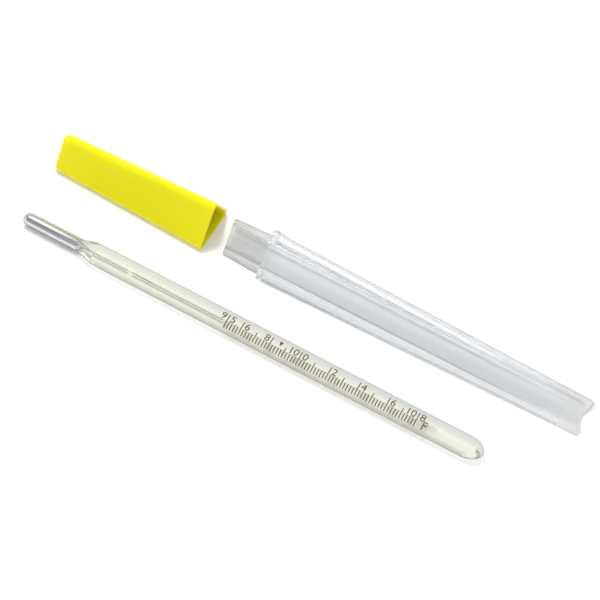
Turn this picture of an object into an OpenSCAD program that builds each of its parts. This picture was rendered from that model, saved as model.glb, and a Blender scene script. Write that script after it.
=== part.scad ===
// Clinical mercury thermometer with its two-piece travelling case, laid out with the cap off.
// Millimetres, Z up. X runs along all three pieces, and the set lies on Z = 0.

/* [Thermometer glass] */
// Length from the tip of the bulb to the end of the stem
glass_length = 106; // [100:0.5:114]
// Width of the stem
stem_width = 5; // [4.6:0.1:5.6]
// Thickness of the stem, from its flat back to the crown of its lens front
stem_thickness = 3; // [2.8:0.1:3.4]
// Radius of the two rounded sides of the stem
side_radius = 1.3; // [1.1:0.05:1.35]
// Length over which the stem flares from the bulb to its full section
shoulder_length = 6; // [3:0.5:8]
// Length of the flame-rounded end of the stem
tip_length = 5; // [3:0.5:8]
// Length of the bulb
bulb_length = 13.6; // [11:0.2:16]
// Outside diameter of the bulb
bulb_diameter = 2.8; // [2.4:0.1:2.8]
// Wall of the bulb
bulb_wall = 0.25; // [0.2:0.05:0.35]
// Width of the enamel strip let into the back of the stem
enamel_width = 1.8; // [1.2:0.1:2.2]
// Thickness of the enamel strip
enamel_thickness = 0.4; // [0.3:0.05:0.5]

/* [Capillary and mercury] */
// Diameter of the capillary bore
bore_diameter = 0.3; // [0.2:0.02:0.5]
// Height of the bore above the back of the stem
bore_height = 1; // [0.9:0.05:1.5]
// Distance from the tip of the bulb to the pinch that holds a reading
pinch_place = 25; // [21:0.5:30]
// Length of the pinch
pinch_length = 0.6; // [0.4:0.1:1.2]
// Diameter of the bore inside the pinch
pinch_diameter = 0.12; // [0.08:0.02:0.18]
// Gap between the mercury and the glass around it
mercury_gap = 0.02; // [0.01:0.005:0.04]
// Distance from the top of the shaken-down column to the first graduation
column_margin = 1.2; // [0.6:0.2:4]
// Diameter of the small chamber at the top of the bore
chamber_diameter = 0.6; // [0.5:0.05:1]
// Length of that chamber
chamber_length = 2.4; // [1.5:0.1:4]

/* [Scale] */
// Distance from the tip of the bulb to the first graduation
scale_start = 48.1; // [44:0.1:50]
// First degree of the scale, Fahrenheit
first_degree = 95; // [94:1:96]
// Last degree of the scale, Fahrenheit
last_degree = 108; // [106:1:108]
// Distance between two degrees
degree_pitch = 3.32; // [3.2:0.02:3.4]
// Graduations in each degree
marks_per_degree = 5; // [2:1:5]
// Width of a graduation
mark_width = 0.2; // [0.12:0.01:0.24]
// Thickness of the printed ink
ink_thickness = 0.03; // [0.02:0.005:0.05]
// Height above the back at which every graduation starts
mark_foot = 2.35; // [2:0.05:2.5]
// Distance in front of the crown at which a short graduation ends
short_mark_end = 0.7; // [0.5:0.05:0.9]
// Distance behind the crown that a degree without a figure reaches
degree_mark_reach = 0.1; // [0:0.05:0.4]
// The same for a degree that has a figure
figured_mark_reach = 1; // [0.6:0.05:1.2]
// Reading that the arrow points at, Fahrenheit
normal_reading = 98.6; // [98:0.2:99]
// Width of the arrow
arrow_width = 0.8; // [0.6:0.1:1.2]
// Length of the arrow
arrow_length = 1.1; // [0.8:0.1:1.4]

/* [Case] */
// Length of the cap
cap_length = 36; // [30:0.5:42]
// Length of the neck that the cap slides over
neck_length = 8.6; // [6:0.2:12]
// Wall of the cap at its mouth
cap_wall = 0.55; // [0.5:0.05:0.8]
// End wall of the cap
cap_end_wall = 0.9; // [0.8:0.1:1.6]
// Gap between the cap and the neck inside it
fit_gap = 0.1; // [0.06:0.02:0.2]
// How far the tube stands out past the mouth of the cap, measured as a wall
tube_flare = 0.25; // [0:0.05:0.4]
// Wall of the neck at its free end
neck_wall = 0.55; // [0.5:0.05:0.8]
// Side wall of tube and cap next to their closed ends
side_wall = 0.85; // [0.7:0.05:1.1]
// End wall of the tube, at its corners
tube_end_wall = 1.6; // [1.4:0.1:2.2]
// Depth of the scallop in the tube's closed end
scallop_depth = 1; // [0.5:0.1:1]
// Width of each scallop
scallop_width = 5.6; // [4:0.2:6]
// Diameter of the round gate recess between the scallops
gate_diameter = 3; // [2:0.2:4]
// Depth of the gate recess below the scallops
gate_depth = 0.2; // [0.1:0.05:0.3]
// Radius of the outside corners of tube and cap
corner_radius = 1.2; // [1:0.05:1.4]
// Radius of the corners of the tube's hollow
hollow_radius = 1.2; // [0.4:0.05:1.4]
// Radius of the corners at the bottom of the cap's socket
socket_end_radius = 0.4; // [0.3:0.05:0.6]
// Free play of the thermometer inside the walls of the hollow
side_play = 0.15; // [0.1:0.05:0.3]
// Free play of the thermometer along the closed case
end_play = 0.3; // [0.2:0.1:1]
// How much the hollow opens out towards the mouth, on each wall
hollow_draft = 0.1; // [0.06:0.02:0.3]
// Width of the stop bead behind the neck
bead_width = 1.2; // [0.8:0.1:2]
// Height of the bead above the tube's two upper faces
bead_height = 0.3; // [0.1:0.05:0.5]
// Rounding of the closed end of the tube
tube_end_rounding = 0.7; // [0.3:0.1:0.8]
// Rounding of the closed end of the cap
cap_end_rounding = 1.1; // [0.5:0.1:1.2]

/* [Layout on the table] */
// Gap between the mouth of the cap and the neck
cap_gap = 4.5; // [1:0.5:20]
// Distance between the middle of the case and the middle of the thermometer
row_spacing = 18; // [12:0.5:40]
// Distance from the end of the neck back to the tip of the bulb
bulb_lead = 39; // [0:0.5:60]

/* [Hidden] */

// Facets around a rounded corner, and the thickness of a slice that a hull starts or ends with
corner_facets = 32;
slice = 0.02;
root3 = sqrt(3);

// Stem section: flat back, two side circles and a lens front that meets them without a kink
side_y = stem_width / 2 - side_radius;
lens_radius = (pow(side_y, 2) + pow(stem_thickness, 2) - 2 * side_radius * stem_thickness)
            / (2 * stem_thickness - 4 * side_radius);
lens_z = stem_thickness - lens_radius;
lens_slope = atan2(side_y, side_radius - lens_z);
bulb_radius = bulb_diameter / 2;
axis_z = stem_thickness / 2;
envelope_radius = stem_width / 2 + 0.1;
enamel_start = bulb_length + shoulder_length / 2;
enamel_end = glass_length - tip_length / 3;

// Bore and mercury along the stem, measured from the tip of the bulb
bore_radius = bore_diameter / 2;
thread_radius = bore_radius - mercury_gap;
throat_radius = axis_z - bore_height + bore_radius + mercury_gap;
pinch_end = pinch_place + pinch_length;
column_end = scale_start - column_margin;
scale_end = scale_start + (last_degree - first_degree) * degree_pitch;
bore_end = scale_end + 2;

// Sharp-cornered sides of the case's triangular sections, worked out from the stem outwards.
// The cap's socket and the neck taper alike, so that they meet along their whole length.
hollow_end_side = 2 * side_y + 2 * root3 * (side_radius + side_play);
hollow_mouth_side = hollow_end_side + 2 * root3 * hollow_draft;
neck_tip_side = hollow_mouth_side + 2 * root3 * neck_wall;
neck_share = neck_length / (cap_length - cap_end_wall);
socket_side = (neck_tip_side + 2 * root3 * fit_gap - hollow_end_side * neck_share) / (1 - neck_share);
neck_base_side = socket_side - 2 * root3 * fit_gap;
mouth_side = socket_side + 2 * root3 * cap_wall;
tube_mouth_side = mouth_side + 2 * root3 * tube_flare;
closed_side = hollow_end_side + 2 * root3 * side_wall;
socket_radius = corner_radius - cap_wall;
neck_radius = socket_radius - fit_gap;
neck_base_lift = cap_wall + fit_gap;
neck_tip_lift = neck_base_lift + (side_wall - cap_wall) * neck_share;

// The bead stands on the neck's floor inside the tube, so that it shows on the two upper faces only
bead_lift = neck_base_lift;
bead_foot = 2 / root3 * bead_lift;
bead_side = tube_mouth_side + 4 / root3 * bead_height;
bead_inner_side = tube_mouth_side - 4 / root3 * bead_height;

// The closed case is as long inside as the thermometer and its play
tube_length = glass_length + end_play + tube_end_wall + cap_end_wall + neck_length - cap_length;
scallop_radius = (pow(scallop_width / 2, 2) + pow(scallop_depth, 2)) / (2 * scallop_depth);

// Middle of the whole set on the table, with the end of the neck at X = 0 and the case at Y = 0
set_left = -max(cap_gap + cap_length, bulb_lead);
set_right = max(tube_length, glass_length - bulb_lead);
set_back = max(tube_mouth_side, bead_side - bead_foot) / 2 - root3 * corner_radius + corner_radius;
set_front = -row_spacing - stem_width / 2;
set_middle = [(set_left + set_right) / 2, (set_front + set_back) / 2, 0];

// Moves a piece of the case to its place
module on_case_row()
    translate(-set_middle)
        children();

// Moves a piece of the thermometer to its place, with the tip of the bulb at X = 0 before
module on_glass_row()
    translate([-bulb_lead, -row_spacing, 0] - set_middle)
        children();

// Turns an outline in Y and Z into a bar along X
module bar(from, length)
    translate([from, 0, 0])
        rotate([90, 0, 90])
            linear_extrude(length)
                children();

// Turns an outline in radius and X into a solid around a line along X
module turned(height)
    translate([0, 0, height])
        rotate([0, 90, 0])
            rotate([0, 0, 90])
                rotate_extrude($fn = 64)
                    children();

// Round rod along X
module rod(radius, from, to, height)
    translate([from, 0, height])
        rotate([0, 90, 0])
            cylinder(r = radius, h = to - from, $fn = 48);

// Three rods at the corners of a triangle that stands at the given height
module corner_rods(side, radius, height, from, length)
    for (corner = [[-side / 2 + root3 * radius, radius],
                   [side / 2 - root3 * radius, radius],
                   [0, side * root3 / 2 - 2 * radius]])
        translate([from, corner[0], height + corner[1]])
            rotate([0, 90, 0])
                cylinder(r = radius, h = length, $fn = corner_facets);

// Rounded closed end of a triangular shell, which faces the given way along X
module rounded_end(side, radius, at, way, rounding)
    for (angle = [0 : 30 : 90]) {
        inset = min(rounding * (1 - cos(angle)), radius - slice);
        corner_rods(side - 2 * root3 * inset, radius - inset, inset,
                    at - way * rounding * (1 - sin(angle)) - (way > 0 ? slice : 0), slice);
    }

// Section of the stem, grown outwards by the given amount
module stem_section(grow = 0) {
    lens = lens_radius + grow;
    tangent_y = lens * sin(lens_slope);
    tangent_z = lens_z + lens * cos(lens_slope);
    for (way = [-1, 1])
        translate([way * side_y, side_radius])
            circle(side_radius + grow, $fn = 64);
    polygon([[-side_y, -grow], [side_y, -grow], [tangent_y, tangent_z], [-tangent_y, tangent_z]]);
    intersection() {
        translate([0, lens_z])
            circle(lens, $fn = 128);
        translate([-tangent_y, tangent_z])
            square([2 * tangent_y, stem_thickness]);
    }
}

// Round envelope that gives the stem its flared shoulder and its rounded end
module stem_envelope() {
    flare = [for (t = [0 : 0.1 : 1])
        [bulb_radius + (envelope_radius - bulb_radius) * sin(90 * t),
         bulb_length + shoulder_length * t]];
    nose = [for (angle = [0 : 10 : 80])
        [envelope_radius * cos(angle), glass_length - tip_length * (1 - sin(angle))]];
    turned(axis_z)
        polygon(concat([[0, bulb_length]], flare, nose, [[0, glass_length]]));
}

// Printed line around the front of the stem, from its foot to the given distance past the crown
module graduation(place, reach)
    bar(place - mark_width / 2, mark_width)
        intersection() {
            difference() {
                stem_section(ink_thickness);
                stem_section();
            }
            translate([-stem_width, mark_foot])
                square([stem_width + reach, stem_thickness]);
        }

function place_of(degree) = scale_start + (degree - first_degree) * degree_pitch;
function has_figure(degree) = degree == first_degree || degree % 2 == 0;

// Clear tube: neck, stop bead, tapered triangular body and scalloped closed end
module case_tube()
    color([0.86, 0.9, 0.93, 0.5])
        on_case_row()
            difference() {
                union() {
                    hull() {
                        corner_rods(neck_tip_side, neck_radius, neck_tip_lift, 0, slice);
                        corner_rods(neck_base_side, neck_radius, neck_base_lift, neck_length, bead_width);
                    }
                    hull() {
                        corner_rods(bead_inner_side - bead_foot, corner_radius, bead_lift,
                                    neck_length + slice, bead_width);
                        corner_rods(bead_side - bead_foot, corner_radius, bead_lift,
                                    neck_length + bead_height, bead_width - 2 * bead_height);
                    }
                    hull() {
                        corner_rods(tube_mouth_side, corner_radius, 0, neck_length, slice);
                        rounded_end(closed_side, corner_radius, tube_length, 1, tube_end_rounding);
                    }
                }
                hull() {
                    corner_rods(hollow_mouth_side, hollow_radius, neck_tip_lift + neck_wall, -1, 1 + slice);
                    corner_rods(hollow_end_side, hollow_radius, side_wall,
                                tube_length - tube_end_wall - slice, slice);
                }
                for (turn = [0, 120, 240])
                    translate([tube_length + scallop_radius - scallop_depth, 0, closed_side / root3 / 2])
                        rotate([turn, 0, 0])
                            translate([0, 0, -closed_side])
                                cylinder(r = scallop_radius, h = closed_side, $fn = 96);
                rod(gate_diameter / 2, tube_length - scallop_depth - gate_depth, tube_length,
                    closed_side / root3 / 2);
            }

// Yellow cap: tapered triangular cup whose socket fits the neck
module case_cap()
    color([0.93, 0.87, 0.1])
        on_case_row()
            translate([-cap_gap, 0, 0])
                difference() {
                    hull() {
                        corner_rods(mouth_side, corner_radius, 0, -slice, slice);
                        rounded_end(closed_side, corner_radius, -cap_length, -1, cap_end_rounding);
                    }
                    hull() {
                        corner_rods(socket_side, socket_radius, cap_wall, -slice, 1);
                        corner_rods(hollow_end_side, socket_end_radius, side_wall,
                                    cap_end_wall - cap_length, slice);
                    }
                }

// Lens-fronted glass stem with its capillary bore, pinch, top chamber and the channel for the enamel
module glass_stem()
    color([0.9, 0.93, 0.9, 0.5])
        on_glass_row()
            difference() {
                intersection() {
                    bar(bulb_length, glass_length - bulb_length)
                        stem_section();
                    stem_envelope();
                }
                rod(bore_radius, bulb_length - 1, pinch_place, bore_height);
                rod(pinch_diameter / 2, pinch_place - 1, pinch_end + 1, bore_height);
                rod(bore_radius, pinch_end, bore_end, bore_height);
                rod(chamber_diameter / 2, bore_end - slice, bore_end + chamber_length, bore_height);
                enamel_bar();
            }

// Strip of enamel, from inside the shoulder to inside the rounded end
module enamel_bar()
    translate([enamel_start, -enamel_width / 2, 0])
        cube([enamel_end - enamel_start, enamel_width, enamel_thickness]);

// Thin glass bulb, closed at its tip and fused to the end of the stem
module bulb_glass()
    color([0.88, 0.9, 0.9, 0.5])
        on_glass_row()
            turned(axis_z)
                difference() {
                    bulb_outline(bulb_radius, 0, bulb_radius);
                    bulb_outline(bulb_radius - bulb_wall, bulb_wall, throat_radius);
                }

// Half outline of the bulb or of its hollow, which narrows to the given radius at the stem
module bulb_outline(radius, start, end_radius) {
    nose = [for (angle = [0 : 10 : 90])
        [radius * sin(angle), start + radius * (1 - cos(angle))]];
    polygon(concat(nose, [[radius, bulb_length - (radius - end_radius)], [end_radius, bulb_length],
                          [0, bulb_length]]));
}

// Ivory enamel strip that backs the bore
module enamel_strip()
    color([0.93, 0.91, 0.78])
        on_glass_row()
            enamel_bar();

// Mercury in the bulb and in the bore up to the pinch
module mercury_reservoir()
    color([0.75, 0.76, 0.78])
        on_glass_row()
            union() {
                turned(axis_z)
                    bulb_outline(bulb_radius - bulb_wall - mercury_gap, bulb_wall + mercury_gap,
                                 throat_radius - mercury_gap);
                rod(thread_radius, bulb_length - 1, pinch_place - mercury_gap, bore_height);
            }

// Mercury column above the pinch, shaken down below the scale
module mercury_column()
    color([0.75, 0.76, 0.78])
        on_glass_row()
            rod(thread_radius, pinch_end + mercury_gap, column_end, bore_height);

// Graduations between the whole degrees
module fifth_degree_marks()
    color([0.36, 0.22, 0.14])
        on_glass_row()
            for (degree = [first_degree : last_degree - 1])
                for (step = [1 : marks_per_degree - 1])
                    graduation(place_of(degree + step / marks_per_degree), -short_mark_end);

// Whole degrees that carry no figure
module degree_marks()
    color([0.36, 0.22, 0.14])
        on_glass_row()
            for (degree = [first_degree : last_degree])
                if (!has_figure(degree))
                    graduation(place_of(degree), degree_mark_reach);

// Whole degrees that carry a figure
module figured_marks()
    color([0.36, 0.22, 0.14])
        on_glass_row()
            for (degree = [first_degree : last_degree])
                if (has_figure(degree))
                    graduation(place_of(degree), figured_mark_reach);

// Arrow at the normal body temperature, printed on the crown above the short graduations
module normal_mark()
    color([0.3, 0.16, 0.1])
        on_glass_row()
            intersection() {
                bar(place_of(normal_reading) - arrow_width, 2 * arrow_width)
                    difference() {
                        stem_section(ink_thickness);
                        stem_section();
                    }
                translate([place_of(normal_reading), -short_mark_end + 2 * mark_width, axis_z])
                    linear_extrude(stem_thickness)
                        polygon([[0, 0], [arrow_width / 2, arrow_length], [-arrow_width / 2, arrow_length]]);
            }

case_tube();
case_cap();
glass_stem();
bulb_glass();
enamel_strip();
mercury_reservoir();
mercury_column();
fifth_degree_marks();
degree_marks();
figured_marks();
normal_mark();
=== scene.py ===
import math

import bmesh
import bpy
from mathutils import Matrix, Vector


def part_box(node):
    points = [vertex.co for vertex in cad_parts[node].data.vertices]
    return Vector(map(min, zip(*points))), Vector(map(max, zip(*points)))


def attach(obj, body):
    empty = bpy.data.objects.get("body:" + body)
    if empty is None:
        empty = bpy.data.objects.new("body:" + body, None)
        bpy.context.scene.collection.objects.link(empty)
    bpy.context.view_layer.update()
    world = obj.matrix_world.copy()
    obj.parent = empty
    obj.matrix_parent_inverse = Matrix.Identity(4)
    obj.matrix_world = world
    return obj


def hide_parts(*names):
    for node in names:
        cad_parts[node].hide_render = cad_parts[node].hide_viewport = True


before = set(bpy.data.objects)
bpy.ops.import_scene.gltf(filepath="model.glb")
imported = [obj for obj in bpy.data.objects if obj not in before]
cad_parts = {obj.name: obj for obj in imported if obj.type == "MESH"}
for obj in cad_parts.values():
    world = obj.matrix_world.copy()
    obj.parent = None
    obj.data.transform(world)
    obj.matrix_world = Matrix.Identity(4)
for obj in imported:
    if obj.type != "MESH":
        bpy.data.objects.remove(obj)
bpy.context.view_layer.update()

MM = 0.001
ROOT3 = math.sqrt(3)

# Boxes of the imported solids, which the pieces below are fitted to
tube_low, tube_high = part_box("case_tube")
cap_low, cap_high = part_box("case_cap")
stem_low, stem_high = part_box("glass_stem")
bulb_low, bulb_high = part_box("bulb_glass")
enamel_low, enamel_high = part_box("enamel_strip")
column_low, column_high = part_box("mercury_column")
figured_low, figured_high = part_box("figured_marks")

# Case: the middle of its row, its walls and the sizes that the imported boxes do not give
CASE_Y = (tube_low.y + tube_high.y) / 2
CORNER_RADIUS = 1.2 * MM
HOLLOW_RADIUS = 1.2 * MM
SOCKET_END_RADIUS = 0.4 * MM
LEAST_RADIUS = 0.02 * MM
CAP_WALL = 0.55 * MM
CAP_END_WALL = 0.9 * MM
FIT_GAP = 0.1 * MM
TUBE_FLARE = 0.25 * MM
NECK_LENGTH = 8.6 * MM
NECK_WALL = 0.55 * MM
SIDE_WALL = 0.85 * MM
TUBE_END_WALL = 1.6 * MM
SIDE_PLAY = 0.15 * MM
HOLLOW_DRAFT = 0.1 * MM
BEAD_WIDTH = 1.2 * MM
BEAD_HEIGHT = 0.3 * MM
SCALLOP_DEPTH = 1.0 * MM
SCALLOP_WIDTH = 5.6 * MM
SCALLOP_SOFTNESS = 0.3 * MM
SCALLOP_OVERRUN = 0.2 * MM
GATE_RADIUS = 1.5 * MM
GATE_DEPTH = 0.2 * MM
GATE_SLOPE = 0.3 * MM
TUBE_END_ROUNDING = 0.7 * MM
CAP_END_ROUNDING = 1.1 * MM
EDGE_ROUNDING = 0.14 * MM
HOLLOW_END_ROUNDING = 0.3 * MM

# Thermometer glass: its axis, its section and the space for the mercury
GLASS_Y = (stem_low.y + stem_high.y) / 2
AXIS_Z = (stem_low.z + stem_high.z) / 2
SIDE_RADIUS = 1.3 * MM
SHOULDER_LENGTH = 6.0 * MM
TIP_LENGTH = 5.0 * MM
ENVELOPE_PLAY = 0.1 * MM
ENVELOPE_BLEND = 0.15 * MM
BULB_RADIUS = (bulb_high.y - bulb_low.y) / 2
BULB_WALL = 0.25 * MM
BORE_RADIUS = 0.15 * MM
BORE_Z = (column_low.z + column_high.z) / 2
PINCH_LENGTH = 0.6 * MM
PINCH_RADIUS = 0.06 * MM
PINCH_SLOPE = 0.2 * MM
CHAMBER_RADIUS = 0.3 * MM
CHAMBER_LENGTH = 2.4 * MM
CHAMBER_GAP = 2.0 * MM
FUNNEL_LENGTH = 2.6 * MM
FUNNEL_LEAD = 0.8 * MM
stem_half = (stem_high.y - stem_low.y) / 2
stem_thickness = stem_high.z - stem_low.z
side_y = stem_half - SIDE_RADIUS
lens_radius = ((side_y ** 2 + stem_thickness ** 2 - 2 * SIDE_RADIUS * stem_thickness)
               / (2 * stem_thickness - 4 * SIDE_RADIUS))
lens_z = stem_thickness - lens_radius
lens_slope = math.atan2(side_y, SIDE_RADIUS - lens_z)
envelope_radius = stem_half + ENVELOPE_PLAY
shoulder_x = bulb_high.x
pinch_end_x = column_low.x
pinch_x = pinch_end_x - PINCH_LENGTH
bore_end_x = figured_high.x + CHAMBER_GAP

# Mercury: its overlap with the glass, so that no film of air is between them, and its ends at the pinch
WETTING = 0.006 * MM
RESERVOIR_GAP = 0.25 * MM
THREAD_FOOT = 0.2 * MM
THREAD_FULL = 0.3 * MM
FOOT_SHARE = 0.4

# Enamel strip: how far it lies inside the back of the glass, and its bevel
ENAMEL_SINK = 0.02 * MM
ENAMEL_EDGE = 0.12 * MM

# Sharp-cornered sides of the case's triangular sections, from the stem outwards
hollow_end_side = 2 * side_y + 2 * ROOT3 * (SIDE_RADIUS + SIDE_PLAY)
hollow_mouth_side = hollow_end_side + 2 * ROOT3 * HOLLOW_DRAFT
neck_tip_side = hollow_mouth_side + 2 * ROOT3 * NECK_WALL
neck_share = NECK_LENGTH / (cap_high.x - cap_low.x - CAP_END_WALL)
socket_side = ((neck_tip_side + 2 * ROOT3 * FIT_GAP - hollow_end_side * neck_share)
               / (1 - neck_share))
neck_base_side = socket_side - 2 * ROOT3 * FIT_GAP
mouth_side = socket_side + 2 * ROOT3 * CAP_WALL
tube_mouth_side = mouth_side + 2 * ROOT3 * TUBE_FLARE
closed_side = hollow_end_side + 2 * ROOT3 * SIDE_WALL
socket_radius = CORNER_RADIUS - CAP_WALL
neck_radius = socket_radius - FIT_GAP
neck_base_lift = CAP_WALL + FIT_GAP
neck_tip_lift = neck_base_lift + (SIDE_WALL - CAP_WALL) * neck_share
bead_side = tube_mouth_side + 4 / ROOT3 * BEAD_HEIGHT
bead_foot = 2 / ROOT3 * neck_base_lift
scallop_radius = ((SCALLOP_WIDTH / 2) ** 2 + SCALLOP_DEPTH ** 2) / (2 * SCALLOP_DEPTH)
stop_x = tube_low.x + NECK_LENGTH

# Sections of the case: place along X, sharp-cornered side, corner radius and lift above the table
tube_end = (tube_high.x, closed_side, CORNER_RADIUS, 0)
tube_stop = (stop_x, tube_mouth_side, CORNER_RADIUS, 0)
neck_base = (stop_x, neck_base_side, neck_radius, neck_base_lift)
neck_tip = (tube_low.x, neck_tip_side, neck_radius, neck_tip_lift)
hollow_mouth = (tube_low.x, hollow_mouth_side, HOLLOW_RADIUS, neck_tip_lift + NECK_WALL)
hollow_end = (tube_high.x - TUBE_END_WALL, hollow_end_side, HOLLOW_RADIUS, SIDE_WALL)
cap_end = (cap_low.x, closed_side, CORNER_RADIUS, 0)
cap_rim = (cap_high.x, mouth_side, CORNER_RADIUS, 0)
socket_rim = (cap_high.x, socket_side, socket_radius, CAP_WALL)
socket_end = (cap_low.x + CAP_END_WALL, hollow_end_side, SOCKET_END_RADIUS, SIDE_WALL)

# The two ways along X
LEFTWARD, RIGHTWARD = -1, 1

# Scale: its first and last degree, and the figures printed beside the marks
FIRST_DEGREE, LAST_DEGREE = 95, 108
MARK_WIDTH = 0.2 * MM
FIGURE_HEIGHT = 1.65 * MM
FIGURE_STEP = 1.05 * MM
FIGURE_SPREAD = 1.1
FIGURE_Y = 0.26 * MM
UNIT_Y = -1.15 * MM
UNIT_STEP = 2.0 * MM
INK_RISE = 0.02 * MM
INK_SINK = 0.01 * MM
degree_pitch = (figured_high.x - figured_low.x - MARK_WIDTH) / (LAST_DEGREE - FIRST_DEGREE)
first_mark_x = figured_low.x + MARK_WIDTH / 2
# Degree, figures in front of its mark, figures behind it
FIGURES = [(95, "9", "5"), (96, "", "6"), (98, "8", ""), (100, "10", "0"),
           (102, "", "2"), (104, "", "4"), (106, "", "6"), (108, "10", "8")]
# Direction along which the points and faces of a figure are sorted, so that each run gives the same mesh
COUNTING_WAY = Vector((1.0, 0.37, 0.11))

# Points along a corner arc and along a straight side of a case section
ARC_STEPS = 10
SIDE_STEPS = 20

# Points along the back, a round side and the lens front of the stem's section
BACK_POINTS = 9
SIDE_POINTS = 25
LENS_POINTS = 33

# Shares of its size at which the end face of a hollow narrows to its middle
CLOSING_SHARES = (0.7, 0.3)


def mix(a, b, share):
    """Value that lies a share of the way from a to b."""
    return a + (b - a) * share


def ease(share):
    """Smooth step from 0 to 1."""
    share = min(max(share, 0.0), 1.0)
    return share * share * (3 - 2 * share)


def soft_min(a, b, reach):
    """The smaller of two sizes, rounded where they cross."""
    share = min(max(0.5 + 0.5 * (a - b) / reach, 0.0), 1.0)
    return mix(a, b, share) - reach * share * (1 - share)


def steps(first, last, count):
    """Evenly spaced values, both ends included."""
    return [mix(first, last, step / (count - 1)) for step in range(count)]


def triangle_normals():
    """Outward directions of a case section's points, the same for every section."""
    angles = []
    for corner in range(3):
        first = -90 + 120 * corner
        arc = steps(first, first + 120, ARC_STEPS + 1)
        angles += arc + [arc[-1]] * (SIDE_STEPS - 1)
    return [(math.cos(math.radians(angle)), math.sin(math.radians(angle))) for angle in angles]


NORMALS = triangle_normals()


def triangle_ring(x, side, radius, lift):
    """Rounded triangle that stands lift above the table, as points around the case's axis."""
    centres = [(side / 2 - ROOT3 * radius, radius), (0, side * ROOT3 / 2 - 2 * radius),
               (-side / 2 + ROOT3 * radius, radius)]
    span = ARC_STEPS + SIDE_STEPS
    points = []
    for corner in range(3):
        y, z = centres[corner]
        next_y, next_z = centres[(corner + 1) % 3]
        for step in range(span):
            share = max(step - ARC_STEPS, 0) / SIDE_STEPS
            along, up = NORMALS[corner * span + step]
            points.append(Vector((x, CASE_Y + mix(y, next_y, share) + radius * along,
                                  lift + mix(z, next_z, share) + radius * up)))
    return points


def inset_ring(x, side, radius, lift, inset):
    """The same section drawn in by an even distance."""
    return triangle_ring(x, side - 2 * ROOT3 * inset, max(radius - inset, LEAST_RADIUS), lift + inset)


def tapered_rings(start, end, shares):
    """Rings between two sections of the case."""
    return [triangle_ring(*[mix(one, two, share) for one, two in zip(start, end)]) for share in shares]


def towards_middle(ring, shares):
    """Smaller copies of a ring around its own middle."""
    middle = sum(ring, Vector()) / len(ring)
    return [[middle.lerp(point, share) for point in ring] for share in shares]


def rounded_edge(x, side, radius, lift, way, rounding, count=5):
    """Rings over a rounded rim, from the wall to the face that looks along way.

    A negative rounding widens the rim of a hollow.
    """
    rings = []
    for angle in steps(0, math.pi / 2, count):
        ring_x = x - way * abs(rounding) * (1 - math.sin(angle))
        rings.append(inset_ring(ring_x, side, radius, lift, rounding * (1 - math.cos(angle))))
    return rings


def skin(builder, rings, inward=False):
    """Joins rings with the same number of points to a closed surface, with a fan over each end."""
    loops = [[builder.verts.new(point) for point in ring] for ring in rings]
    faces = []
    for one, two in zip(loops, loops[1:]):
        for step in range(len(one)):
            faces.append(builder.faces.new((one[step - 1], one[step], two[step], two[step - 1])))
    for loop in (loops[0], loops[-1]):
        middle = builder.verts.new(sum((corner.co for corner in loop), Vector()) / len(loop))
        for step in range(len(loop)):
            faces.append(builder.faces.new((loop[step - 1], loop[step], middle)))
    bmesh.ops.recalc_face_normals(builder, faces=faces)
    if inward:
        bmesh.ops.reverse_faces(builder, faces=faces)
    return loops


def finish_piece(name, builder, material, body, nodes=(), sharp_angle=50):
    """Turns a mesh under work into a smooth piece that rides on its body."""
    mesh = bpy.data.meshes.new(name)
    builder.to_mesh(mesh)
    builder.free()
    mesh.shade_smooth()
    mesh.set_sharp_from_angle(angle=math.radians(sharp_angle))
    mesh.materials.append(material)
    piece = bpy.data.objects.new(name, mesh)
    bpy.context.scene.collection.objects.link(piece)
    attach(piece, body)
    if nodes:
        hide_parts(*nodes)


def scallop(point):
    """How far the tube's closed end is hollowed at a point, by three scallops and the gate recess."""
    middle_z = closed_side / ROOT3 / 2
    y, z = point.y - CASE_Y, point.z - middle_z
    deepest = 0.0
    for turn in (-90, 30, 150):
        along = y * math.cos(math.radians(turn)) + z * math.sin(math.radians(turn))
        across = abs(y * math.sin(math.radians(turn)) - z * math.cos(math.radians(turn)))
        if along < -SCALLOP_OVERRUN or across > scallop_radius:
            continue
        depth = SCALLOP_DEPTH - scallop_radius + math.sqrt(scallop_radius ** 2 - across ** 2)
        deepest = max(deepest, (depth + math.hypot(depth, SCALLOP_SOFTNESS)) / 2)
    gate = GATE_DEPTH * ease((GATE_RADIUS - math.hypot(y, z)) / GATE_SLOPE + 0.5)
    return deepest + gate


def hollowed(ring):
    """A ring of the tube's closed end, moved in by the scallops and the gate recess."""
    return [Vector((point.x - scallop(point), point.y, point.z)) for point in ring]


def body_ring(x):
    """Outer section of the tube at a place between its stop and its closed end."""
    share = (x - stop_x) / (tube_high.x - stop_x)
    return triangle_ring(x, mix(tube_mouth_side, closed_side, share), CORNER_RADIUS, 0)


def bead_ring(body, share):
    """A body ring whose two upper faces rise by a share of the stop bead's full height."""
    lowest, blend = -0.8, 0.9
    full = triangle_ring(body[0].x, bead_side - bead_foot, CORNER_RADIUS, neck_base_lift)
    return [point.lerp(top, share * ease((up - lowest) / blend))
            for point, top, (_, up) in zip(body, full, NORMALS)]


def corner_shade_and_dust(normal):
    """1 in the middle of the hollow's two lower corners, where painted shade and dust go, and 0 on its flat
    walls.
    """
    wall, blend = 0.7, 0.3
    along, up = normal
    return ease((ROOT3 / 2 * abs(along) - up / 2 - wall) / blend)


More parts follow.
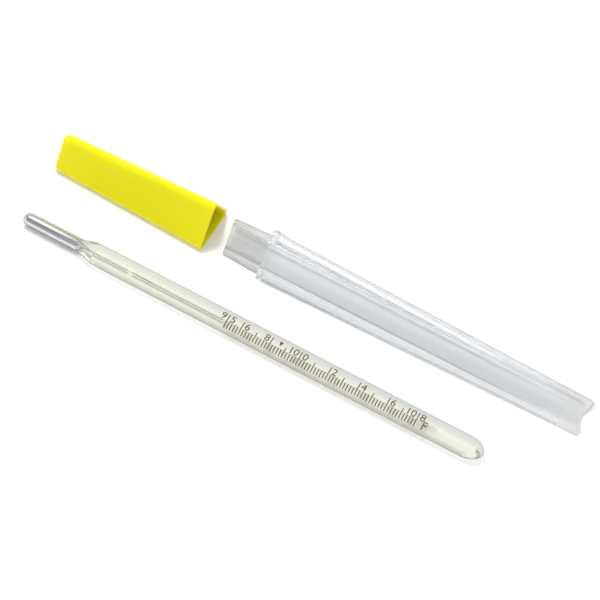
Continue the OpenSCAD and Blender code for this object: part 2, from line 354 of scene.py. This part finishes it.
def tube_outer_rings():
    """Outside of the tube: scalloped end, tapered body, stop bead and neck."""
    edge = rounded_edge(*tube_end, RIGHTWARD, TUBE_END_ROUNDING)[::-1]
    rings = [hollowed(ring) for ring in towards_middle(edge[0], steps(0.05, 0.95, count=16)) + edge]
    body_end, body_start = tube_high.x - 3 * MM, stop_x + BEAD_WIDTH + 0.2 * MM
    rings += [body_ring(x) for x in steps(body_end, body_start, count=14)]
    for along in steps(1, -1, count=11):
        x = stop_x + EDGE_ROUNDING + BEAD_WIDTH / 2 * (1 + along)
        rings.append(bead_ring(body_ring(x), math.sqrt(1 - along ** 2)))
    rings += rounded_edge(*tube_stop, LEFTWARD, EDGE_ROUNDING, count=4)[1:]
    rings += tapered_rings(neck_base, neck_tip, (0.0, 0.02, 0.05, 0.3, 0.6, 0.9))
    return rings + rounded_edge(*neck_tip, LEFTWARD, EDGE_ROUNDING)


def tube_hollow_rings():
    """Hollow of the tube, from its mouth to its closed end."""
    rings = rounded_edge(*hollow_mouth, LEFTWARD, -EDGE_ROUNDING)[::-1]
    rings += tapered_rings(hollow_mouth, hollow_end, steps(0.05, 0.95, count=12))
    edge = rounded_edge(*hollow_end, RIGHTWARD, HOLLOW_END_ROUNDING)
    return rings + edge + towards_middle(edge[-1], CLOSING_SHARES)


def build_tube(material):
    """Clear tube, with its hollow, and the painted shade and dust of its hollow's lower corners marked for
    the material.
    """
    outer = tube_outer_rings()
    builder = bmesh.new()
    inside = builder.verts.layers.float.new("inside")
    # The dust mark also carries the painted shade of the hollow's lower corners
    dust = builder.verts.layers.float.new("dust")
    for loop in skin(builder, outer + tube_hollow_rings())[len(outer):]:
        for point, normal in zip(loop, NORMALS):
            point[inside] = 1.0
            point[dust] = corner_shade_and_dust(normal)
    finish_piece("clear_tube", builder, material, "case", ["case_tube"])


def build_cap(material):
    """Yellow cap: rounded closed end, tapered walls, a softened rim and the socket inside."""
    edge = rounded_edge(*cap_end, LEFTWARD, CAP_END_ROUNDING, count=8)[::-1]
    rings = towards_middle(edge[0], (0.1, 0.4, 0.7, 0.9)) + edge
    rings += tapered_rings(cap_end, cap_rim, steps(0.04, 0.98, count=12))
    rings += rounded_edge(*cap_rim, RIGHTWARD, EDGE_ROUNDING)
    rings += rounded_edge(*socket_rim, RIGHTWARD, -EDGE_ROUNDING)[::-1]
    rings += tapered_rings(socket_rim, socket_end, steps(0.05, 0.97, count=10))
    inner_edge = rounded_edge(*socket_end, LEFTWARD, HOLLOW_END_ROUNDING)
    rings += inner_edge + towards_middle(inner_edge[-1], CLOSING_SHARES)
    builder = bmesh.new()
    skin(builder, rings)
    finish_piece("yellow_cap", builder, material, "cap", ["case_cap"])


def arc_points(y, z, radius, first, last, count):
    """Points of an arc around a centre, without its first."""
    return [(y + radius * math.cos(angle), z + radius * math.sin(angle))
            for angle in steps(first, last, count)[1:]]


def stem_outline():
    """Section of the stem around its axis: flat back, two round sides and the lens front."""
    side_end = math.pi / 2 - lens_slope
    points = [(y, 0.0) for y in steps(-side_y, side_y, BACK_POINTS)]
    points += arc_points(side_y, SIDE_RADIUS, SIDE_RADIUS, -math.pi / 2, side_end, SIDE_POINTS)
    points += arc_points(0, lens_z, lens_radius, side_end, math.pi - side_end, LENS_POINTS)
    points += arc_points(-side_y, SIDE_RADIUS, SIDE_RADIUS, math.pi - side_end, 1.5 * math.pi, SIDE_POINTS)
    return [(y, z - AXIS_Z) for y, z in points[:-1]]


STEM_OUTLINE = stem_outline()


def glass_ring(x, limit):
    """The stem's section at one place, kept inside a round envelope."""
    ring = []
    for y, z in STEM_OUTLINE:
        reach = math.hypot(y, z)
        size = soft_min(reach, limit, ENVELOPE_BLEND) / reach
        ring.append(Vector((x, GLASS_Y + y * size, AXIS_Z + z * size)))
    return ring


def round_ring(x, z, radius, count=32):
    """Circle around a line along X."""
    return [Vector((x, GLASS_Y + radius * math.cos(2 * math.pi * step / count),
                    z + radius * math.sin(2 * math.pi * step / count))) for step in range(count)]


def reservoir_rings(grow, last_x):
    """Space inside the bulb, its funnel into the stem and the bore up to a given place."""
    radius = BULB_RADIUS - BULB_WALL
    start_x, first_angle = bulb_low.x + BULB_WALL, 0.12
    rings = [round_ring(start_x + radius * (1 - math.cos(angle)), AXIS_Z, radius * math.sin(angle) + grow)
             for angle in steps(first_angle, math.pi / 2, count=9)]
    for share in steps(0, 1, count=12):
        narrowing = ease(share * 0.5 + 0.5) * 2 - 1
        rings.append(round_ring(mix(shoulder_x - FUNNEL_LEAD, shoulder_x + FUNNEL_LENGTH, share),
                                mix(AXIS_Z, BORE_Z, ease(share)),
                                mix(radius, BORE_RADIUS, narrowing) + grow))
    rings.append(round_ring(last_x, BORE_Z, BORE_RADIUS + grow))
    return rings


def bore_rings():
    """Whole space for the mercury: bulb, funnel, bore, pinch, bore again and the top chamber."""
    first_angle, last_angle = 0.35, math.pi - 0.1
    rings = reservoir_rings(0, pinch_x - PINCH_SLOPE)
    rings += [round_ring(x, BORE_Z, PINCH_RADIUS) for x in (pinch_x, pinch_end_x)]
    for x in steps(pinch_end_x + PINCH_SLOPE, bore_end_x, count=8):
        rings.append(round_ring(x, BORE_Z, BORE_RADIUS))
    for angle in steps(first_angle, last_angle, count=12):
        rings.append(round_ring(bore_end_x + CHAMBER_LENGTH * (1 - math.cos(angle)) / 2, BORE_Z,
                                max(CHAMBER_RADIUS * math.sin(angle), PINCH_RADIUS)))
    return rings


def glass_rings():
    """Outside of the glass: round bulb, shoulder, even stem and rounded end."""
    first_angle, last_angle = 0.1, math.pi / 2 - 0.06
    bulb_start, bulb_end = bulb_low.x + 4 * MM, shoulder_x - 0.6 * MM
    tip_x = stem_high.x - TIP_LENGTH
    even_start, even_end = shoulder_x + SHOULDER_LENGTH + 2 * MM, tip_x - 2 * MM
    rings = []
    for angle in steps(first_angle, math.pi / 2, count=12):
        dome_x = bulb_low.x + BULB_RADIUS * (1 - math.cos(angle))
        rings.append(glass_ring(dome_x, BULB_RADIUS * math.sin(angle)))
    rings += [glass_ring(x, BULB_RADIUS) for x in steps(bulb_start, bulb_end, count=4)]
    for share in steps(0, 1, count=18):
        limit = mix(BULB_RADIUS, envelope_radius, math.sin(math.pi / 2 * share))
        rings.append(glass_ring(shoulder_x + SHOULDER_LENGTH * share, limit))
    rings += [glass_ring(x, envelope_radius) for x in steps(even_start, even_end, count=10)]
    for angle in steps(0, last_angle, count=18):
        rings.append(glass_ring(tip_x + TIP_LENGTH * math.sin(angle), envelope_radius * math.cos(angle)))
    return rings


def build_glass(material):
    """Bulb and stem, fused into one piece of glass with the mercury's space inside it."""
    builder = bmesh.new()
    skin(builder, glass_rings())
    skin(builder, bore_rings(), inward=True)
    finish_piece("thermometer_glass", builder, material, "thermometer",
                 ["glass_stem", "bulb_glass"])


def build_reservoir(material):
    """Mercury that fills the bulb, the funnel and the bore below the pinch."""
    builder = bmesh.new()
    skin(builder, reservoir_rings(WETTING, pinch_x - RESERVOIR_GAP))
    finish_piece("bulb_mercury", builder, material, "thermometer", ["mercury_reservoir"])


def build_column(material):
    """Mercury thread above the pinch, with a narrow foot and a domed top."""
    radius = BORE_RADIUS + WETTING
    first_angle, last_angle = 0.3, math.pi / 2 - 0.1
    rings = [round_ring(column_low.x + THREAD_FOOT, BORE_Z, radius * FOOT_SHARE)]
    for x in steps(column_low.x + THREAD_FULL, column_high.x - radius, count=4):
        rings.append(round_ring(x, BORE_Z, radius))
    for angle in steps(first_angle, last_angle, count=6):
        dome_x = column_high.x - radius * (1 - math.sin(angle))
        rings.append(round_ring(dome_x, BORE_Z, radius * math.cos(angle)))
    builder = bmesh.new()
    skin(builder, rings)
    finish_piece("mercury_thread", builder, material, "column", ["mercury_column"])


def build_enamel(material):
    """Enamel strip, sunk just inside the back of the glass, with bevelled edges."""
    low = enamel_low.z + ENAMEL_SINK
    rings = []
    for x, inset in ((enamel_low.x, ENAMEL_EDGE), (enamel_low.x + ENAMEL_EDGE, 0.0),
                     (enamel_high.x - ENAMEL_EDGE, 0.0), (enamel_high.x, ENAMEL_EDGE)):
        half = (enamel_high.y - enamel_low.y) / 2 - inset
        high = enamel_high.z - inset
        corners = [(half, low), (half, high - ENAMEL_EDGE), (half - ENAMEL_EDGE, high),
                   (-half + ENAMEL_EDGE, high), (-half, high - ENAMEL_EDGE), (-half, low)]
        rings.append([Vector((x, GLASS_Y + y, z)) for y, z in corners])
    builder = bmesh.new()
    skin(builder, rings)
    finish_piece("enamel_band", builder, material, "thermometer", ["enamel_strip"], sharp_angle=30)


def crown_z(y, rise):
    """Height of the lens front at a distance from the middle of the stem."""
    return lens_z + math.sqrt((lens_radius + rise) ** 2 - y ** 2)


def mark_x(degree):
    """Place of a degree's mark along the stem."""
    return first_mark_x + (degree - FIRST_DEGREE) * degree_pitch


def font_mesh(text):
    """One figure of the built-in font as a flat mesh."""
    curve = bpy.data.curves.new("figure", "FONT")
    curve.body = text
    curve.resolution_u = 6
    holder = bpy.data.objects.new("figure", curve)
    bpy.context.scene.collection.objects.link(holder)
    graph = bpy.context.evaluated_depsgraph_get()
    mesh = bpy.data.meshes.new_from_object(holder.evaluated_get(graph))
    bpy.data.objects.remove(holder)
    bpy.data.curves.remove(curve)
    return mesh


def flat_figure(text):
    """One flat figure at the print's height, its middle at the origin, cut into strips that can bend."""
    mesh = font_mesh(text)
    part = bmesh.new()
    part.from_mesh(mesh)
    bpy.data.meshes.remove(mesh)
    low = Vector([min(point.co[axis] for point in part.verts) for axis in range(3)])
    high = Vector([max(point.co[axis] for point in part.verts) for axis in range(3)])
    size = FIGURE_HEIGHT / (high.y - low.y)
    for point in part.verts:
        point.co = (point.co - (low + high) / 2) * size
    reach = 0.45 * FIGURE_HEIGHT
    for cut in steps(-reach, reach, count=9):
        geometry = part.verts[:] + part.edges[:] + part.faces[:]
        bmesh.ops.bisect_plane(part, geom=geometry, plane_co=(0, cut, 0), plane_no=(0, 1, 0))
    bmesh.ops.recalc_face_normals(part, faces=part.faces)
    return part


def print_figure(builder, text, x, y):
    """Adds one figure to the print, thickened and bent around the crown."""
    part = flat_figure(text)
    lifted = bmesh.ops.extrude_face_region(part, geom=part.faces[:])["geom"]
    tops = {item for item in lifted if isinstance(item, bmesh.types.BMVert)}
    for point in part.verts:
        across = y + point.co.y
        height = crown_z(across, INK_RISE if point in tops else -INK_SINK)
        point.co = Vector((x + point.co.x, GLASS_Y + across, height))
    bmesh.ops.recalc_face_normals(part, faces=part.faces)
    part.verts.sort(key=lambda point: COUNTING_WAY.dot(point.co))
    part.faces.sort(key=lambda face: COUNTING_WAY.dot(face.calc_center_median()))
    holder = bpy.data.meshes.new("figure")
    part.to_mesh(holder)
    part.free()
    builder.from_mesh(holder)
    bpy.data.meshes.remove(holder)


def build_figures(material):
    """Numbers of the scale and the letter of its unit."""
    builder = bmesh.new()
    for degree, before, after in FIGURES:
        for way, figures in ((LEFTWARD, before[::-1]), (RIGHTWARD, after)):
            for place, text in enumerate(figures):
                x = mark_x(degree) + way * FIGURE_STEP * (1 + FIGURE_SPREAD * place)
                print_figure(builder, text, x, FIGURE_Y)
    print_figure(builder, "F", mark_x(LAST_DEGREE) + UNIT_STEP, UNIT_Y)
    finish_piece("scale_figures", builder, material, "thermometer", sharp_angle=30)


def feed(tree, socket, value):
    """Links a socket to another one, or sets its constant value."""
    if isinstance(value, bpy.types.NodeSocket):
        tree.links.new(value, socket)
    else:
        socket.default_value = value


def add(tree, kind, settings=(), values=(), **inputs):
    """Adds a node: settings are its own properties, values fill its sockets in order, inputs by name."""
    node = tree.nodes.new(kind)
    for name, value in dict(settings).items():
        setattr(node, name, value)
    for socket, value in zip(node.inputs, values):
        feed(tree, socket, value)
    for name, value in inputs.items():
        feed(tree, node.inputs[name.replace("_", " ")], value)
    return node


def maths(tree, operation, *values):
    """Result of one operation on numbers."""
    return add(tree, "ShaderNodeMath", [("operation", operation)], values).outputs[0]


def slope(tree, value, first, last):
    """0 where a value is at first, 1 where it is at last, and even beyond both."""
    return add(tree, "ShaderNodeMapRange", Value=value, From_Min=first, From_Max=last).outputs[0]


def ranged(tree, value, low, high):
    """Value from 0 to 1 mapped to the given range."""
    return add(tree, "ShaderNodeMapRange", Value=value, To_Min=low, To_Max=high).outputs[0]


def blended(tree, share, one, two):
    """Two colours mixed by a share; the node has its colour sockets after those of other kinds."""
    node = add(tree, "ShaderNodeMix", [("data_type", "RGBA")])
    feed(tree, node.inputs["Factor"], share)
    feed(tree, node.inputs[6], one)
    feed(tree, node.inputs[7], two)
    return node.outputs[2]


def bumped(tree, height, strength, depth):
    """Normal from a height."""
    return add(tree, "ShaderNodeBump", Strength=strength, Distance=depth, Height=height).outputs[0]


def object_place(tree):
    """Place on a piece, in the piece's own frame."""
    return add(tree, "ShaderNodeTexCoord").outputs["Object"]


def noise(tree, place, scale, detail):
    """Cloudy value from 0 to 1."""
    return add(tree, "ShaderNodeTexNoise", Vector=place, Scale=scale, Detail=detail).outputs[0]


def marked(tree, name):
    """Value that a piece carries at its points under a name."""
    return add(tree, "ShaderNodeAttribute", [("attribute_name", name)]).outputs["Fac"]


def new_group(name, inputs, outputs):
    """Shader node group with number inputs and outputs; returns it with its two ends."""
    tree = bpy.data.node_groups.new(name, "ShaderNodeTree")
    for label, value in inputs:
        socket = tree.interface.new_socket(label, in_out="INPUT", socket_type="NodeSocketFloat")
        socket.default_value = value
    for label in outputs:
        tree.interface.new_socket(label, in_out="OUTPUT", socket_type="NodeSocketFloat")
    return tree, tree.nodes.new("NodeGroupInput").outputs, tree.nodes.new("NodeGroupOutput").inputs


def flow_lines_group():
    """Long streaks along X, as drawing or moulding leaves them, and a broad slow tone."""
    tree, given, put = new_group("flow_lines", [("Scale", 900.0), ("Stretch", 0.04)], ["Height", "Tone"])
    tone_share = 0.12
    place = object_place(tree)
    stretch = add(tree, "ShaderNodeCombineXYZ", values=[given["Stretch"], 1.0, 1.0]).outputs[0]
    drawn = add(tree, "ShaderNodeVectorMath", [("operation", "MULTIPLY")], [place, stretch]).outputs[0]
    tone_scale = maths(tree, "MULTIPLY", given["Scale"], tone_share)
    feed(tree, put["Height"], noise(tree, drawn, given["Scale"], detail=3.0))
    feed(tree, put["Tone"], noise(tree, place, tone_scale, detail=2.0))
    return tree


def handling_group():
    """Hair scratches and specks of dust, as a mask from 0 to 1 and as a height."""
    tree, given, put = new_group("handling_marks", [("Scale", 500.0), ("Scratches", 0.5), ("Specks", 0.5)],
                                 ["Mask", "Height"])
    place = object_place(tree)
    turned = add(tree, "ShaderNodeMapping", Vector=place, Rotation=(0.3, 0.5, 0.6), Scale=(0.06, 1.0, 1.0))
    hair = slope(tree, noise(tree, turned.outputs[0], given["Scale"], detail=5.0), 0.60, 0.68)
    cells = add(tree, "ShaderNodeTexVoronoi", Vector=place, Scale=given["Scale"])
    speck = slope(tree, cells.outputs["Distance"], 0.10, 0.04)
    lines = maths(tree, "MULTIPLY", hair, given["Scratches"])
    dots = maths(tree, "MULTIPLY", speck, given["Specks"])
    feed(tree, put["Mask"], maths(tree, "MAXIMUM", lines, dots))
    feed(tree, put["Height"], maths(tree, "SUBTRACT", dots, lines))
    return tree


FLOW_LINES = flow_lines_group()
HANDLING = handling_group()


def placed(tree, group, **inputs):
    """One use of a shared group inside a material."""
    return add(tree, "ShaderNodeGroup", [("node_tree", group)], **inputs).outputs


def new_material(name):
    """Empty material; returns it with its node tree and the socket that takes its shader."""
    material = bpy.data.materials.new(name)
    material.use_nodes = True
    tree = material.node_tree
    tree.nodes.clear()
    return material, tree, add(tree, "ShaderNodeOutputMaterial").inputs["Surface"]


def rim_share(tree, first, last):
    """0 where a clear piece is entered squarely, 1 along its outline, and 0 where light leaves it."""
    turned = add(tree, "ShaderNodeLayerWeight", Blend=0.5).outputs["Facing"]
    leaving = add(tree, "ShaderNodeNewGeometry").outputs["Backfacing"]
    entering = maths(tree, "SUBTRACT", 1.0, leaving)
    return maths(tree, "MULTIPLY", slope(tree, turned, first, last), entering)


def let_light_through(tree, surface, shader, tint, rim):
    """Lamps, bounced light and light mirrored again and again inside a clear piece pass it straight."""
    most_mirrorings = 2.5
    path = add(tree, "ShaderNodeLightPath").outputs
    straight = maths(tree, "MAXIMUM", path["Is Shadow Ray"], path["Is Diffuse Ray"])
    trapped = maths(tree, "GREATER_THAN", path["Glossy Depth"], most_mirrorings)
    straight = maths(tree, "MAXIMUM", straight, trapped)
    colour = blended(tree, rim_share(tree, 0.45, 0.8), tint, rim)
    clear = add(tree, "ShaderNodeBsdfTransparent", Color=colour).outputs[0]
    feed(tree, surface, add(tree, "ShaderNodeMixShader", values=[straight, shader, clear]).outputs[0])


def yellow_plastic():
    """Satin yellow that light enters a little, deeper where the plastic flowed slowly, faintly scuffed."""
    deep = (0.985, 0.850, 0.002, 1)
    bright = (0.995, 0.880, 0.004, 1)
    scuffed = (0.96, 0.90, 0.25, 1)
    scuff_depth = 0.15
    material, tree, surface = new_material("yellow_plastic")
    flow = placed(tree, FLOW_LINES, Scale=700.0, Stretch=0.12)
    marks = placed(tree, HANDLING, Scale=420.0, Scratches=0.6, Specks=0.5)
    tone = blended(tree, flow["Tone"], deep, bright)
    colour = blended(tree, ranged(tree, marks["Mask"], 0.0, 0.12), tone, scuffed)
    height = maths(tree, "MULTIPLY_ADD", marks["Height"], scuff_depth, flow["Height"])
    shader = add(tree, "ShaderNodeBsdfPrincipled", Base_Color=colour, IOR=1.5, Specular_IOR_Level=0.3,
                 Roughness=ranged(tree, marks["Mask"], 0.30, 0.50), Subsurface_Weight=0.6,
                 Subsurface_Radius=(1.0, 0.9, 0.06), Subsurface_Scale=1.2 * MM,
                 Normal=bumped(tree, height, strength=0.10, depth=0.02 * MM))
    feed(tree, surface, shader.outputs[0])
    return material


# Finish of the tube: its fades along X, from the stop or back from the closed end, and the height of its
# lower part, where painted shade darkens the hollow and the painted rim turns pale
NECK_FADE = 0.4 * MM
MILK_START, MILK_FULL = 9 * MM, 1 * MM
CORNER_SHADE_AND_DUST_FULL, CORNER_SHADE_AND_DUST_STOP = 22 * MM, 5 * MM
TINT_TOP, TINT_FULL = 5.2 * MM, 4.0 * MM


def tube_wear(tree, flow):
    """Masks over the tube: rubbed neck, milky closed end, inner wall, lower part and the hollow's lower
    corners, which take painted shade and dust.
    """
    along, _, up = add(tree, "ShaderNodeSeparateXYZ", values=[object_place(tree)]).outputs
    neck = slope(tree, along, stop_x + NECK_FADE, stop_x - NECK_FADE)
    rubbed = ranged(tree, slope(tree, flow["Height"], 0.35, 0.65), 0.2, 0.9)
    shade_and_dust_reach = slope(tree, along, tube_high.x - CORNER_SHADE_AND_DUST_STOP, tube_high.x - CORNER_SHADE_AND_DUST_FULL)
    return {"rubbed": maths(tree, "MULTIPLY", neck, rubbed),
            "milky": slope(tree, along, tube_high.x - MILK_START, tube_high.x - MILK_FULL),
            "inside": marked(tree, "inside"),
            "low": slope(tree, up, TINT_TOP, TINT_FULL),
            "dust_and_painted_shade": maths(tree, "MULTIPLY", marked(tree, "dust"), shade_and_dust_reach)}


def tube_tint(tree, flow, wear):
    """Cool tint of the tube, with painted shade low in its hollow, painted shade along its outline (dark
    above, pale below), a warm grey on its rubbed neck, a milky end and a dark grey line of painted shade in
    its hollow's lower corners.
    """
    deep, bright = (0.93, 0.945, 0.955, 1), (0.955, 0.965, 0.975, 1)
    hollow, neck, end = (0.69, 0.725, 0.73, 1), (0.66, 0.65, 0.615, 1), (0.88, 0.88, 0.86, 1)
    # Painted shade along the outline: dark on the upper outline, pale on the lower
    painted_upper_rim_shade, painted_lower_rim_shade = (0.34, 0.36, 0.37, 1), (0.88, 0.895, 0.90, 1)
    # dust is the colour of painted shade: a dark grey line in the hollow's lower corners
    dust = (0.28, 0.30, 0.31, 1)
    body = blended(tree, flow["Tone"], deep, bright)
    # Painted shade: the inner walls low in the hollow are darkened
    body = blended(tree, maths(tree, "MULTIPLY", wear["inside"], wear["low"]), body, hollow)
    body = blended(tree, ranged(tree, wear["rubbed"], 0.0, 0.8), body, neck)
    body = blended(tree, ranged(tree, wear["milky"], 0.0, 0.8), body, end)
    outside = maths(tree, "SUBTRACT", 1.0, wear["inside"])
    # Painted shade along the outline, only on the outside
    edge = maths(tree, "MULTIPLY", rim_share(tree, 0.3, 0.75), outside)
    colour = blended(tree, edge, body, blended(tree, wear["low"], painted_upper_rim_shade, painted_lower_rim_shade))
    # Painted shade: the hollow's lower corners are darkened to a grey line
    return blended(tree, wear["dust_and_painted_shade"], colour, dust)


def clear_plastic():
    """Clear moulded plastic with flow lines and hair scratches, dull inside, where worn and where dust lies
    in the hollow's lower corners; its tint carries painted shade in the hollow and along the outline.
    """
    worn_roughness, dusty_roughness, scratch_depth = 0.28, 0.45, 0.04
    material, tree, surface = new_material("clear_plastic")
    flow = placed(tree, FLOW_LINES, Scale=600.0, Stretch=0.012)
    marks = placed(tree, HANDLING, Scale=380.0, Scratches=0.8, Specks=0.4)
    wear = tube_wear(tree, flow)
    dull = maths(tree, "MAXIMUM", wear["rubbed"], wear["milky"])
    dull = maths(tree, "MAXIMUM", dull, wear["inside"])
    rough = maths(tree, "MULTIPLY_ADD", dull, worn_roughness, ranged(tree, marks["Mask"], 0.13, 0.24))
    rough = maths(tree, "MULTIPLY_ADD", wear["dust_and_painted_shade"], dusty_roughness, rough)
    height = maths(tree, "MULTIPLY_ADD", marks["Height"], scratch_depth, flow["Height"])
    shader = add(tree, "ShaderNodeBsdfPrincipled", Base_Color=tube_tint(tree, flow, wear), Roughness=rough,
                 IOR=1.5, Transmission_Weight=0.92,
                 Normal=bumped(tree, height, strength=0.06, depth=0.02 * MM))
    let_light_through(tree, surface, shader.outputs[0], tint=(0.985, 0.987, 0.99, 1),
                      rim=(0.86, 0.865, 0.87, 1))
    return material


def drawn_glass():
    """Drawn glass with fine lines along the stem, a faint green-grey tint and painted shade along the
    outline of its sides.
    """
    deep, bright = (0.905, 0.912, 0.898, 1), (0.94, 0.945, 0.932, 1)
    # Painted shade for the outline along the stem's upper and lower sides
    painted_side_shade = (0.17, 0.175, 0.168, 1)
    material, tree, surface = new_material("drawn_glass")
    flow = placed(tree, FLOW_LINES, Scale=1500.0, Stretch=0.01)
    marks = placed(tree, HANDLING, Scale=700.0, Scratches=0.4, Specks=0.5)
    body = blended(tree, flow["Tone"], deep, bright)
    outward = add(tree, "ShaderNodeTexCoord").outputs["Normal"]
    upward = add(tree, "ShaderNodeSeparateXYZ", values=[outward]).outputs["Z"]
    side = slope(tree, maths(tree, "ABSOLUTE", upward), 0.95, 0.75)
    # Painted shade darkens the colour where the sides are seen edge-on
    colour = blended(tree, maths(tree, "MULTIPLY", rim_share(tree, 0.35, 0.7), side), body, painted_side_shade)
    shader = add(tree, "ShaderNodeBsdfPrincipled", Base_Color=colour, IOR=1.5, Transmission_Weight=1.0,
                 Roughness=ranged(tree, marks["Mask"], 0.01, 0.12),
                 Normal=bumped(tree, flow["Height"], strength=0.06, depth=0.02 * MM))
    let_light_through(tree, surface, shader.outputs[0], tint=(0.90, 0.905, 0.885, 1),
                      rim=(0.07, 0.073, 0.065, 1))
    return material


def mercury():
    """Liquid metal with the faintest dull film."""
    deep, bright = (0.72, 0.73, 0.75, 1), (0.84, 0.85, 0.86, 1)
    material, tree, surface = new_material("mercury")
    flow = placed(tree, FLOW_LINES, Scale=1200.0, Stretch=0.3)
    shader = add(tree, "ShaderNodeBsdfPrincipled", Base_Color=blended(tree, flow["Tone"], deep, bright),
                 Metallic=1.0, Roughness=ranged(tree, flow["Height"], 0.05, 0.14))
    feed(tree, surface, shader.outputs[0])
    return material


def ivory_enamel():
    """Opaque ivory with a slow change of tone along the strip."""
    deep, bright = (0.93, 0.925, 0.82, 1), (0.96, 0.955, 0.86, 1)
    material, tree, surface = new_material("ivory_enamel")
    flow = placed(tree, FLOW_LINES, Scale=1100.0, Stretch=0.05)
    shader = add(tree, "ShaderNodeBsdfPrincipled", Base_Color=blended(tree, flow["Tone"], deep, bright),
                 IOR=1.5, Roughness=ranged(tree, flow["Height"], 0.35, 0.5),
                 Normal=bumped(tree, flow["Height"], strength=0.1, depth=0.02 * MM))
    feed(tree, surface, shader.outputs[0])
    return material


def brown_ink():
    """Fired brown print, redder where it lies thin and darker where it lies thick."""
    thin_red, thin_brown = (0.20, 0.10, 0.018, 1), (0.14, 0.08, 0.014, 1)
    thick = (0.045, 0.024, 0.005, 1)
    material, tree, surface = new_material("brown_ink")
    place = object_place(tree)
    grain = noise(tree, place, scale=4200.0, detail=3.0)
    patch = noise(tree, place, scale=160.0, detail=1.0)
    thin = blended(tree, patch, thin_red, thin_brown)
    colour = blended(tree, ranged(tree, grain, 0.0, 0.7), thin, thick)
    shader = add(tree, "ShaderNodeBsdfPrincipled", Base_Color=colour,
                 Roughness=ranged(tree, grain, 0.45, 0.75),
                 Normal=bumped(tree, grain, strength=0.2, depth=0.01 * MM))
    feed(tree, surface, shader.outputs[0])
    return material


def pale_table():
    """White table: seen directly or through glass it is lifted to white, and keeps its shadows."""
    lift = 0.06
    material, tree, surface = new_material("pale_table")
    path = add(tree, "ShaderNodeLightPath").outputs
    seen = maths(tree, "MAXIMUM", path["Is Camera Ray"], path["Is Glossy Ray"])
    seen = maths(tree, "MAXIMUM", seen, path["Is Transmission Ray"])
    strength = maths(tree, "MULTIPLY", seen, lift)
    lifted = add(tree, "ShaderNodeEmission", Color=(1, 1, 1, 1), Strength=strength)
    matt = add(tree, "ShaderNodeBsdfDiffuse", Color=(0.93, 0.93, 0.93, 1))
    both = add(tree, "ShaderNodeAddShader", values=[matt.outputs[0], lifted.outputs[0]])
    feed(tree, surface, both.outputs[0])
    return material


def build_table():
    """Plain floor just below the pieces."""
    half, drop = 1.5, 0.05 * MM
    corners = [(-half, -half, -drop), (half, -half, -drop), (half, half, -drop), (-half, half, -drop)]
    mesh = bpy.data.meshes.new("table")
    mesh.from_pydata(corners, [], [(0, 1, 2, 3)])
    mesh.materials.append(pale_table())
    table = bpy.data.objects.new("table", mesh)
    bpy.context.scene.collection.objects.link(table)


def aim(thing, place, back, right):
    """Places a camera or lamp that looks against back, with right to its right."""
    right = (right - back * right.dot(back)).normalized()
    up = back.cross(right)
    thing.matrix_world = Matrix.Translation(place) @ Matrix((right, up, back)).transposed().to_4x4()
    bpy.context.scene.collection.objects.link(thing)


def build_camera():
    """Camera at the photograph's viewing angle, aimed at the middle of the set."""
    azimuth, elevation, roll = math.radians(21.23), math.radians(58.22), math.radians(8.9)
    target, distance = Vector((-1.81 * MM, 2.37 * MM, 0)), 0.5
    focal_length, nearest = 147.3, 0.01
    back = Vector((math.sin(azimuth) * math.cos(elevation), -math.cos(azimuth) * math.cos(elevation),
                   math.sin(elevation)))
    level = Vector((0, 0, 1)).cross(back).normalized()
    right = level * math.cos(roll) + back.cross(level) * math.sin(roll)
    data = bpy.data.cameras.new("camera")
    data.lens = focal_length
    data.clip_start = nearest
    camera = bpy.data.objects.new("camera", data)
    aim(camera, target + back * distance, back, right)
    bpy.context.scene.camera = camera


def build_lamp(name, place, length, width, power):
    """Soft lamp that looks at the middle of the set and that no piece mirrors."""
    data = bpy.data.lights.new(name, "AREA")
    data.shape = "RECTANGLE"
    data.size = length
    data.size_y = width
    data.energy = power
    lamp = bpy.data.objects.new(name, data)
    lamp.visible_glossy = False
    lamp.visible_transmission = False
    place = Vector(place)
    aim(lamp, place, place.normalized(), Vector((1, 0, 0)))


def sky_patch(tree, middle, edge, full):
    """Soft round patch of the surroundings, 1 around its middle; edge and full are cosines of its angle."""
    way = add(tree, "ShaderNodeTexCoord").outputs["Generated"]
    near = add(tree, "ShaderNodeVectorMath", [("operation", "DOT_PRODUCT")], [way, middle])
    return slope(tree, near.outputs["Value"], edge, full)


def build_world():
    """Studio surroundings: evenly pale, brighter overhead and darker high in front."""
    pale, dim, bright = (0.48, 0.48, 0.485, 1), (0.33, 0.33, 0.335, 1), (1.45, 1.45, 1.45, 1)
    world = bpy.data.worlds.new("studio")
    world.use_nodes = True
    tree = world.node_tree
    tree.nodes.clear()
    front = sky_patch(tree, middle=(-0.19, -0.55, 0.81), edge=0.86, full=0.98)
    overhead = sky_patch(tree, middle=(-0.19, 0.36, 0.913), edge=0.78, full=0.99)
    colour = blended(tree, overhead, blended(tree, front, pale, dim), bright)
    light = add(tree, "ShaderNodeBackground", Color=colour, Strength=1.0).outputs[0]
    feed(tree, add(tree, "ShaderNodeOutputWorld").inputs["Surface"], light)
    bpy.context.scene.world = world


bpy.context.scene.view_settings.view_transform = "Standard"
build_camera()
build_world()
build_lamp("key", place=(-0.20, 0.13, 0.60), length=0.09, width=0.09, power=1.6)
build_lamp("fill", place=(-0.20, -0.55, 0.58), length=1.0, width=0.8, power=1.5)
build_table()

ink = brown_ink()
metal = mercury()
build_tube(clear_plastic())
build_cap(yellow_plastic())
build_glass(drawn_glass())
build_reservoir(metal)
build_column(metal)
build_enamel(ivory_enamel())
build_figures(ink)
for node in ("fifth_degree_marks", "degree_marks", "figured_marks", "normal_mark"):
    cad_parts[node].data.materials.clear()
    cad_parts[node].data.materials.append(ink)
